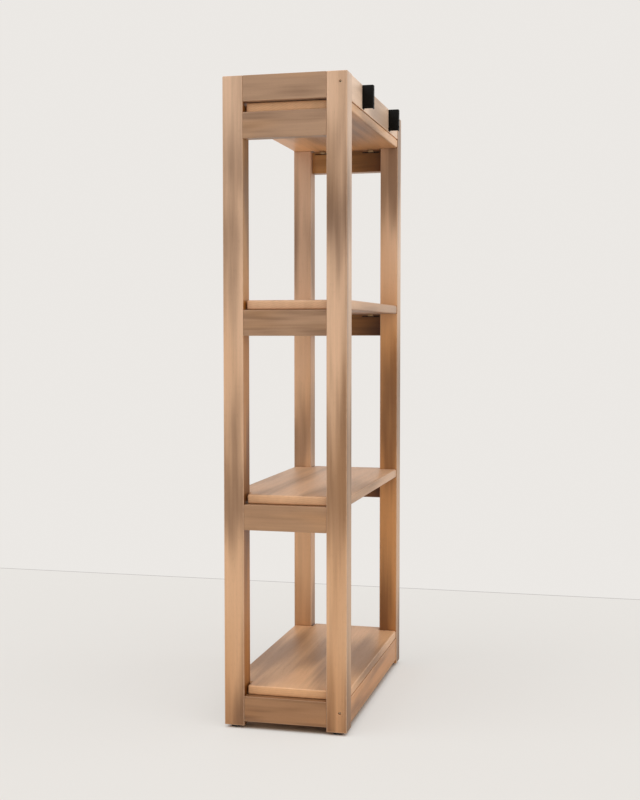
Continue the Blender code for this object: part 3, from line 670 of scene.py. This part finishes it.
def add_rod(bm, start, end, radius, sides=32):
    """Add a capped cylinder between two points."""
    start, end = Vector(start), Vector(end)
    turn = (end - start).to_track_quat("Z", "Y").to_matrix().to_4x4()
    bmesh.ops.create_cone(bm, cap_ends=True, segments=sides, radius1=radius, radius2=radius,
                          depth=(end - start).length, matrix=Matrix.Translation((start + end) / 2) @ turn)


print("turning, threads and settling ready")

# %% [markdown]
# ## Shelves
#
# Each shelf is a board, notched round the posts, with softly rounded edges. Seen from above its outline is a
# plus sign with fat arms: a grid of three by three cells without its four corners. The grid's lines are moved
# to the notches, the corner cells are deleted, the rest is extruded to the board's thickness, and every sharp
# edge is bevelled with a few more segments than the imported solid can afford.

# %% Shelves
SHELF_ROUND = 0.006
NOTCH_X = 0.3857
NOTCH_Y = 0.126
BACK_NOTCH_Y = 0.130
SHELF_STREAKS = 0.75
SHELF_PERIOD = 0.84
SHELF_FIGURE = 0.7

# For each shelf: how far its patches are banded, where along X the dark band lies, and its light colour.
SHELF_LOOKS = {
    "bottom": (1.0, 0.04, LOW_SHELF_WOOD),
    "lower_middle": (0.0, 0.0, LIGHT_WOOD),
    "upper_middle": (0.0, 0.0, LIGHT_WOOD),
    "top": (1.0, 0.035, TOP_SHELF_WOOD),
}


def notched_board(low, high, middle_y):
    """A board between two corners, notched at its four corners, with rounded edges.

    Its tongues reach closer to the back posts than to the front ones, as in the photograph.
    """
    columns = (low.x, -NOTCH_X, NOTCH_X, high.x)
    rows = (low.y, middle_y - NOTCH_Y, middle_y + BACK_NOTCH_Y, high.y)
    bm = bmesh.new()
    bmesh.ops.create_grid(bm, x_segments=3, y_segments=3, size=1.5)
    for vert in bm.verts:
        vert.co = (columns[round(vert.co.x + 1.5)], rows[round(vert.co.y + 1.5)], low.z)
    corners = [face for face in bm.faces if abs(face.calc_center_median().x) > NOTCH_X
               and abs(face.calc_center_median().y - middle_y) > NOTCH_Y]
    bmesh.ops.delete(bm, geom=corners, context="FACES")
    bmesh.ops.dissolve_limit(bm, angle_limit=0.01, verts=bm.verts, edges=bm.edges)
    raised = bmesh.ops.extrude_face_region(bm, geom=bm.faces[:], use_keep_orig=True)["geom"]
    bmesh.ops.translate(bm, vec=(0, 0, high.z - low.z), verts=verts_of(raised))
    bmesh.ops.recalc_face_normals(bm, faces=bm.faces)
    sharp = [edge for edge in bm.edges if edge.is_convex and edge.calc_face_angle(0) > SHARP_ANGLE]
    bmesh.ops.bevel(bm, geom=sharp, offset=SHELF_ROUND, segments=5, profile=0.5, affect="EDGES", material=-1)
    return bm


middle_y = sum(corner.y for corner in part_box("right_bottom_shelf_rail")) / 2
for step, level in enumerate(LEVELS):
    name = level + "_shelf"
    low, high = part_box(name)
    board = to_mesh(name + "_board", notched_board(low, high, middle_y))
    banding, dark_place, light = SHELF_LOOKS[level]
    start = 0.5 + 0.7 * step
    timber = wood_material(name, "X", (0.8, 0.11 * step, start), SHELF_STREAKS, banding, SHELF_PERIOD,
                           start + dark_place, light, inward=(0, 0, -1), inner_light_shade_tints=UNDERSIDE_SHADE_TINTS,
                           figure=SHELF_FIGURE)
    settle(name + "_board", board, Matrix.Identity(4), timber, "unit", "shelf_wood", name)
    print(name, "board:", len(board.polygons), "faces")

# %% [markdown]
# ## Levelling feet
#
# A foot is a moulded pad that turns on the ball of a threaded stud. The pad is one outline spun round: flat
# below, a rounded rim, a shallow groove, and the socket that holds the ball. The stud has its ball, a hexagon
# collar for a spanner, and a real M8 thread, which shows when the foot is wound down.

# %% Levelling feet
PAD_RADIUS = 0.018
PAD_THICKNESS = 0.0068
PAD_GROOVE = 0.0009
BALL_RADIUS = 0.003
BALL_HEIGHT = 0.0046
SOCKET_RADIUS = 0.0033
NECK_RADIUS = 0.0021
COLLAR_BOTTOM = 0.0071
COLLAR_TOP = 0.0097
COLLAR_RADIUS = 0.0098
STUD_TOP = 0.038
STUD_ROOT = 0.0033
STUD_CREST = 0.004
STUD_PITCH = 0.00125
INSERT_BORE = 0.0043
INSERT_LENGTH = 0.018
INSERT_ROOT = 0.0053
INSERT_CREST = 0.0060
INSERT_PITCH = 0.0025
CORNERS = [f"{side}_{end}" for side in SIDES for end in ENDS]


def arc(radius, height, start, end, count):
    """Points on a circle that is centred on the axis, from one angle to another, measured from the top."""
    angles = [math.radians(start + (end - start) * i / count) for i in range(count + 1)]
    return [(radius * math.sin(angle), height + radius * math.cos(angle)) for angle in angles]


def foot_pad():
    """The moulded pad."""
    mouth = math.degrees(math.acos((PAD_THICKNESS - BALL_HEIGHT) / SOCKET_RADIUS))
    profile = arc(SOCKET_RADIUS, BALL_HEIGHT, 180, mouth, 8)
    groove = PAD_THICKNESS - PAD_GROOVE
    profile += [(0.0056, PAD_THICKNESS), (0.0066, groove), (0.0143, groove), (0.0152, PAD_THICKNESS),
                (0.0170, PAD_THICKNESS), (0.0177, 0.0065), (PAD_RADIUS, 0.0058), (PAD_RADIUS, 0.0014),
                (0.0177, 0.0005), (0.0169, 0.0), (0.0, 0.0)]
    return turned(profile, steps=64)


def foot_stud():
    """The stud with its ball, collar and thread."""
    neck = math.degrees(math.asin(NECK_RADIUS / BALL_RADIUS))
    middle = (COLLAR_BOTTOM + COLLAR_TOP) / 2
    profile = [(0, STUD_TOP), (0.0027, STUD_TOP), (STUD_ROOT, STUD_TOP - 0.0006), (STUD_ROOT, middle),
               (NECK_RADIUS, middle)] + arc(BALL_RADIUS, BALL_HEIGHT, neck, 180, 8)
    bm = turned(profile)
    add_thread(bm, STUD_ROOT, STUD_CREST, STUD_PITCH, COLLAR_TOP, STUD_TOP - 0.0004)
    collar = bmesh.new()
    add_rod(collar, (0, 0, COLLAR_BOTTOM), (0, 0, COLLAR_TOP), COLLAR_RADIUS, sides=6)
    bmesh.ops.bevel(collar, geom=collar.edges[:], offset=0.0003, segments=2, profile=0.5, affect="EDGES",
                    material=-1)
    scratch = bpy.data.meshes.new("collar")
    collar.to_mesh(scratch)
    collar.free()
    bm.from_mesh(scratch)
    bpy.data.meshes.remove(scratch)
    return bm


def foot_insert():
    """The brass insert in the post: a bored sleeve with a coarse outer thread."""
    bm = turned([(INSERT_BORE, 0.0006), (INSERT_BORE, INSERT_LENGTH - 0.0006), (0.0047, INSERT_LENGTH),
                 (0.0050, INSERT_LENGTH), (INSERT_ROOT, INSERT_LENGTH - 0.0005), (INSERT_ROOT, 0.0016),
                 (INSERT_CREST, 0.0012), (INSERT_CREST, 0.0), (0.0049, 0.0), (INSERT_BORE, 0.0006)])
    add_thread(bm, INSERT_ROOT, INSERT_CREST, INSERT_PITCH, 0.0024, INSERT_LENGTH - 0.0008, steps=20)
    return bm


pad_mesh = to_mesh("foot_pad", foot_pad())
stud_mesh = to_mesh("foot_stud", foot_stud())
insert_mesh = to_mesh("foot_insert", foot_insert())
for corner in CORNERS:
    low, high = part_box(corner + "_foot_pad")
    middle = (low + high) / 2
    spot = Matrix.Translation((middle.x, middle.y, 0))
    sleeve = Matrix.Translation((middle.x, middle.y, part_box(corner + "_foot_insert")[0].z))
    settle(corner + "_pad_moulding", pad_mesh, spot, FOOT_PLASTIC, corner + "_pad", "black_plastic",
           corner + "_foot_pad")
    settle(corner + "_threaded_stud", stud_mesh, spot, ZINC_PLATE, corner + "_stud", "zinc_steel",
           corner + "_foot_stud")
    settle(corner + "_brass_insert", insert_mesh, sleeve, TURNED_BRASS, "unit", "brass",
           corner + "_foot_insert")
print("feet:", len(CORNERS), "stud faces:", len(stud_mesh.polygons))

# %% [markdown]
# ## Folded pieces
#
# The wall brackets and the shelf clips are bent from flat steel. A folded piece is drawn from its edge: the
# middle line of the metal, whose corners are rounded by `bevel` on the vertices, is extruded to the piece's
# width and given its thickness by Solidify. That keeps the metal equally thick round the bends.

# %% Folding
def folded(name, line, width, thickness, bend, rounding, holes=()):
    """Fold a strip along a line of XY points, centred on Z, and drill it."""
    bm = bmesh.new()
    verts = [bm.verts.new((x, y, -width / 2)) for x, y in line]
    for pair in zip(verts, verts[1:]):
        bm.edges.new(pair)
    bmesh.ops.bevel(bm, geom=verts[1:-1], offset=bend, segments=5, profile=0.5, affect="VERTICES",
                    material=-1)
    spread = bmesh.ops.extrude_edge_only(bm, edges=bm.edges[:])["geom"]
    bmesh.ops.translate(bm, vec=(0, 0, width), verts=verts_of(spread))
    bm = shaped(name, bm, ("SOLIDIFY", {"thickness": thickness, "offset": 0.0, "use_even_offset": True}),
                ("BEVEL", {"width": rounding, "segments": 2, "limit_method": "ANGLE",
                           "angle_limit": math.radians(50)}))
    if holes:
        drills = bmesh.new()
        for start, end, radius in holes:
            add_rod(drills, start, end, radius)
        bm = cut_away(name, bm, drills)
    return bm


# %% Wall brackets
BRACKET_HALF = 0.010
BRACKET_DEPTH = 0.0355
BRACKET_HEIGHT = 0.073
BRACKET_PLATE = 0.003
BRACKET_BEND = 0.0026
BRACKET_ROUND = 0.0006
BRACKET_SCREW_X = -0.0015
BRACKET_SCREW_STEP = 0.022
WALL_HOLE_RADIUS = 0.00275
DRIVER_HOLE_RADIUS = 0.0048
SEAT_GAP = 0.0003


def wall_bracket():
    """A channel of steel plate, open on one side, with a flange for the rail and one for the wall."""
    back, front = SEAT_GAP + BRACKET_PLATE / 2, BRACKET_DEPTH - BRACKET_PLATE / 2
    web = BRACKET_HALF - BRACKET_PLATE / 2
    line = ((-BRACKET_HALF, back), (web, back), (web, front), (-BRACKET_HALF, front))
    start, end = BRACKET_DEPTH - 2 * BRACKET_PLATE, BRACKET_DEPTH + 0.001
    radii = (DRIVER_HOLE_RADIUS, WALL_HOLE_RADIUS, DRIVER_HOLE_RADIUS)
    holes = [((BRACKET_SCREW_X, start, height), (BRACKET_SCREW_X, end, height), radius)
             for height, radius in zip((-BRACKET_SCREW_STEP, 0, BRACKET_SCREW_STEP), radii)]
    return folded("wall_bracket", line, BRACKET_HEIGHT, BRACKET_PLATE, BRACKET_BEND, BRACKET_ROUND, holes)


bracket_mesh = to_mesh("wall_bracket", wall_bracket())
bracket_screw_mesh = to_mesh("bracket_screw", wood_screw(radius=0.00225, length=0.027, head_radius=0.004,
                                                         head_height=0.0025))
for side in SIDES:
    name = side + "_wall_bracket"
    low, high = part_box(name)
    spot = Matrix.Translation(((low.x + high.x) / 2, high.y - BRACKET_DEPTH, (low.z + high.z) / 2))
    settle(side + "_folded_bracket", bracket_mesh, spot, POWDER_COAT, "unit", "black_steel", name)
    for end, height in (("lower", -BRACKET_SCREW_STEP), ("upper", BRACKET_SCREW_STEP)):
        seat = Matrix.Translation((BRACKET_SCREW_X, SEAT_GAP + BRACKET_PLATE, height))
        seat = seat @ Matrix.Rotation(-math.pi / 2, 4, "X")
        settle(f"{side}_bracket_{end}_screw", bracket_screw_mesh, spot @ seat, POWDER_COAT, "unit",
               "black_steel")
print("bracket faces:", len(bracket_mesh.polygons))

# %% Shelf clips
CLIP_WIDTH = 0.018
CLIP_THICKNESS = 0.0015
CLIP_BEND = 0.0013
CLIP_ROUND = 0.0002
CLIP_STANDOFF = 0.001
CLIP_LEG = 0.009
CLIP_TAB = 0.022
CLIP_SLOT_DROP = 0.008
CLIP_SLOT_HEIGHT = 0.0045


def shelf_clip():
    """A clip: its leg lies in the rail's slot, its riser climbs the rail and its tab lies under the shelf."""
    riser = -CLIP_STANDOFF - CLIP_THICKNESS / 2
    leg = -(CLIP_SLOT_DROP - CLIP_SLOT_HEIGHT / 2 + SEAT_GAP) - CLIP_THICKNESS / 2
    tab = -CLIP_THICKNESS / 2
    line = ((riser - CLIP_THICKNESS / 2 - CLIP_TAB, tab), (riser, tab), (riser, leg), (CLIP_LEG, leg))
    bm = folded("shelf_clip", line, CLIP_WIDTH, CLIP_THICKNESS, CLIP_BEND, CLIP_ROUND)
    bmesh.ops.rotate(bm, cent=(0, 0, 0), matrix=Matrix.Rotation(math.pi / 2, 3, "X"), verts=bm.verts)
    return bm


clip_mesh = to_mesh("shelf_clip", shelf_clip())
clip_screw_mesh = to_mesh("clip_screw", wood_screw(radius=0.002, length=0.015, head_radius=0.004,
                                                   head_height=0.0022))
clip_screw_x = -(CLIP_STANDOFF + CLIP_THICKNESS + CLIP_TAB / 2)
for side, sign in SIDES.items():
    for end in ENDS:
        for level in LEVELS:
            name = f"{side}_{end}_{level}_shelf_clip"
            low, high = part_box(name)
            rail_low, rail_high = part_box(f"{side}_{level}_shelf_rail")
            face = rail_low.x if sign > 0 else rail_high.x
            spot = Matrix.Translation((face, (low.y + high.y) / 2, rail_high.z))
            spot = spot @ Matrix.Rotation(0 if sign > 0 else math.pi, 4, "Z")
            settle(f"{side}_{end}_{level}_bent_clip", clip_mesh, spot, SHADED_ZINC, "unit", "zinc_steel", name)
            seat = Matrix.Translation((clip_screw_x, 0, -CLIP_THICKNESS)) @ Matrix.Rotation(math.pi, 4, "X")
            settle(f"{side}_{end}_{level}_clip_screw", clip_screw_mesh, spot @ seat, SHADED_ZINC, "unit",
                   "zinc_steel")
print("clip faces:", len(clip_mesh.polygons))

# %% [markdown]
# ## Bolts and barrel nuts
#
# A connector bolt runs through each back post into the end of a back rail, where a barrel nut lies across it.
# The bolt's head has a hexagon socket: the top ring of the turned head is bridged to a smaller hexagon, and
# the hexagon is extruded down and closed.

# %% Bolts and barrel nuts
BOLT_LENGTH = 0.110
BOLT_RADIUS = 0.0025
BOLT_CORE = 0.0021
BOLT_SHANK_END = -0.068
BOLT_PITCH = 0.0008
HEAD_RADIUS = 0.0042
HEAD_LENGTH = 0.006
SOCKET_HEX = 0.0023
SOCKET_DEPTH = 0.003
NUT_RADIUS = 0.005
NUT_LENGTH = 0.016
NUT_CHAMFER = 0.0004
NUT_SLOT = (0.0012, 0.02, 0.0024, 1)


def connector_bolt():
    """A bolt along -Z from the top of its head."""
    bm = turned([(0.0036, 0), (0.0040, -0.0003), (HEAD_RADIUS, -0.0007), (HEAD_RADIUS, -HEAD_LENGTH),
                 (BOLT_RADIUS, -HEAD_LENGTH), (BOLT_RADIUS, BOLT_SHANK_END),
                 (BOLT_CORE, BOLT_SHANK_END - 0.0005), (BOLT_CORE, 0.0008 - BOLT_LENGTH),
                 (0.0016, -BOLT_LENGTH), (0, -BOLT_LENGTH)], steps=24)
    rim = [edge for edge in bm.edges if edge.is_boundary]
    hexagon = bmesh.ops.create_circle(bm, cap_ends=False, segments=6, radius=SOCKET_HEX)["verts"]
    sides = list({edge for vert in hexagon for edge in vert.link_edges})
    bmesh.ops.bridge_loops(bm, edges=rim + sides)
    walls = bmesh.ops.extrude_edge_only(bm, edges=sides)["geom"]
    bottom = verts_of(walls)
    bmesh.ops.translate(bm, vec=(0, 0, -SOCKET_DEPTH), verts=bottom)
    bmesh.ops.contextual_create(bm, geom=bottom)
    add_thread(bm, BOLT_CORE, BOLT_RADIUS, BOLT_PITCH, 0.0006 - BOLT_LENGTH, BOLT_SHANK_END - 0.0004,
               steps=12)
    return bm


def barrel_nut():
    """A barrel along Y with a cross hole for the bolt and a slot to turn it by."""
    half = NUT_LENGTH / 2
    bm = turned([(0, half), (NUT_RADIUS - NUT_CHAMFER, half), (NUT_RADIUS, half - NUT_CHAMFER),
                 (NUT_RADIUS, NUT_CHAMFER - half), (NUT_RADIUS - NUT_CHAMFER, -half), (0, -half)])
    cuts = bmesh.new()
    add_rod(cuts, (-0.01, 0, 0), (0.01, 0, 0), BOLT_RADIUS + SEAT_GAP)
    slot = Matrix.Translation((0, 0, half)) @ Matrix.Diagonal(NUT_SLOT)
    bmesh.ops.create_cube(cuts, size=1, matrix=slot)
    bm = cut_away("barrel_nut", bm, cuts)
    bmesh.ops.rotate(bm, cent=(0, 0, 0), matrix=Matrix.Rotation(math.pi / 2, 3, "X"), verts=bm.verts)
    return bm


bolt_mesh = to_mesh("connector_bolt", connector_bolt())
nut_mesh = to_mesh("barrel_nut", barrel_nut())
for side, sign in SIDES.items():
    for rail in ("bottom_back_rail", "top_back_rail"):
        name = f"{side}_{rail}_bolt"
        low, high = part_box(name)
        head = Vector((high.x if sign > 0 else low.x, (low.y + high.y) / 2, (low.z + high.z) / 2))
        spot = Matrix.Translation(head) @ Matrix.Rotation(sign * math.pi / 2, 4, "Y")
        settle(f"{side}_{rail}_socket_bolt", bolt_mesh, spot, YELLOW_ZINC, "unit", "zinc_steel", name)
        name = f"{side}_{rail}_barrel_nut"
        low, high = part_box(name)
        spot = Matrix.Translation((low + high) / 2)
        settle(f"{side}_{rail}_slotted_nut", nut_mesh, spot, ZINC_PLATE, "unit", "zinc_steel", name)
print("bolt faces:", len(bolt_mesh.polygons))

# %% [markdown]
# ## Room and light
#
# The photograph has a pale wall and floor that meet in a thin line behind the unit, and soft light from all
# round. The floor is a large plane that ends at the line. The wall is only the world's colour, so it can't
# hide the unit from behind: what the camera and reflections see of the world is pale, and what lights the
# unit is weaker.

# %% Room
FLOOR_EDGE = -1.79
FLOOR_REACH = 9.0
LINE_WIDTH = 0.012
FLOOR_GLOW = 0.6
SHADE_FADE = (-0.03, 0.0)
GLOW_FADE = (-0.02, 0.02)
WALL_COLOUR = (0.835, 0.81, 0.78, 1)
FLOOR_COLOUR = (0.80, 0.775, 0.74, 1)
LINE_COLOUR = (0.52, 0.50, 0.48, 1)
UNDER_SHADE_COLOUR = (0.62, 0.49, 0.36, 1)


def room_material(name, colour):
    """A matt material for the room, whose shadows the camera sees softened by a share of plain glow.

    The glow fades towards the unit's base, so that the shade of contact stays dark, and under the unit the
    colour itself is darkened to a brown, which is painted shade.
    """
    material, tree, shader = new_material(name)
    place = add_node(tree, "TexCoord").outputs["Object"]
    low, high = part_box("left_front_post")[0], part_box("right_back_post")[1]
    centred = add_node(tree, "Mapping", Vector=place, Location=-(low + high) / 2).outputs[0]
    gap = vector_maths(tree, "SUBTRACT", vector_maths(tree, "ABSOLUTE", centred),
                       ((high.x - low.x) / 2, (high.y - low.y) / 2, 0))
    across, deep, _ = add_node(tree, "SeparateXYZ", Vector=gap).outputs
    distance = maths(tree, "MAXIMUM", across, deep)
    # Under the unit the floor's colour is darkened to a brown: painted shade.
    shade = mixed(tree, remap(tree, distance, *SHADE_FADE), UNDER_SHADE_COLOUR, colour)
    fill_node(tree, shader, Base_Color=shade, Roughness=0.9, Specular_IOR_Level=0.0)
    flat = add_node(tree, "Emission", Color=colour, Strength=1.0)
    share = remap(tree, distance, *GLOW_FADE, 0.0, FLOOR_GLOW)
    seen = maths(tree, "MULTIPLY", add_node(tree, "LightPath").outputs["Is Camera Ray"], share)
    blend = add_node(tree, "MixShader", values=(seen, shader.outputs[0], flat.outputs[0]))
    fill_node(tree, tree.nodes["Material Output"], Surface=blend.outputs[0])
    return material


def floor_sheet(name, start, end, material):
    """A flat strip of the room's floor between two places along X."""
    bm = bmesh.new()
    spot = Matrix.Translation(((start + end) / 2, 0, 0))
    size = Matrix.Diagonal((end - start, 2 * FLOOR_REACH, 1, 1))
    bmesh.ops.create_grid(bm, x_segments=1, y_segments=1, size=0.5, matrix=spot @ size)
    mesh = bpy.data.meshes.new(name)
    bm.to_mesh(mesh)
    bm.free()
    sheet = bpy.data.objects.new(name, mesh)
    mesh.materials.append(material)
    bpy.context.scene.collection.objects.link(sheet)


floor_paint = room_material("floor_paint", FLOOR_COLOUR)
line_paint = room_material("floor_line_paint", LINE_COLOUR)
floor_sheet("floor", FLOOR_EDGE, FLOOR_REACH, floor_paint)
floor_sheet("floor_line", FLOOR_EDGE - LINE_WIDTH, FLOOR_EDGE, line_paint)
print("floor ends at x =", FLOOR_EDGE)

# %% Light
HORIZON_STRENGTH = 0.42
ZENITH_STRENGTH = 0.62

world = bpy.data.worlds.new("studio")
bpy.context.scene.world = world
world.use_nodes = True
sky = world.node_tree
background = sky.nodes["Background"]
rays = add_node(sky, "LightPath").outputs
mirrored = maths(sky, "MAXIMUM", rays["Is Glossy Ray"], rays["Is Transmission Ray"])
seen = maths(sky, "MAXIMUM", rays["Is Camera Ray"], mirrored)
upward = add_node(sky, "SeparateXYZ", Vector=add_node(sky, "TexCoord").outputs["Generated"]).outputs["Z"]
lighting = remap(sky, upward, 0.0, 1.0, HORIZON_STRENGTH, ZENITH_STRENGTH, False)
strength = add_node(sky, "Mix", {"data_type": "FLOAT"}, Factor=seen, A=lighting, B=1.0)
fill_node(sky, background, Color=mixed(sky, seen, (1, 1, 1, 1), WALL_COLOUR), Strength=strength.outputs[0])


def soft_sun(name, turn, height, width, power):
    """A sun lamp that comes from a turn about Z and a height above the horizon, both in degrees."""
    lamp = bpy.data.lights.new(name, "SUN")
    lamp.angle = math.radians(width)
    lamp.energy = power * math.pi
    light = bpy.data.objects.new(name, lamp)
    turn, height = math.radians(turn), math.radians(height)
    source = Vector((math.cos(turn) * math.cos(height), math.sin(turn) * math.cos(height), math.sin(height)))
    light.rotation_euler = source.to_track_quat("Z", "Y").to_euler()
    bpy.context.scene.collection.objects.link(light)


soft_sun("key_light", turn=-30, height=55, width=60, power=0.34)
soft_sun("back_light", turn=66, height=42, width=80, power=0.34)
bpy.context.scene.view_settings.view_transform = "Standard"
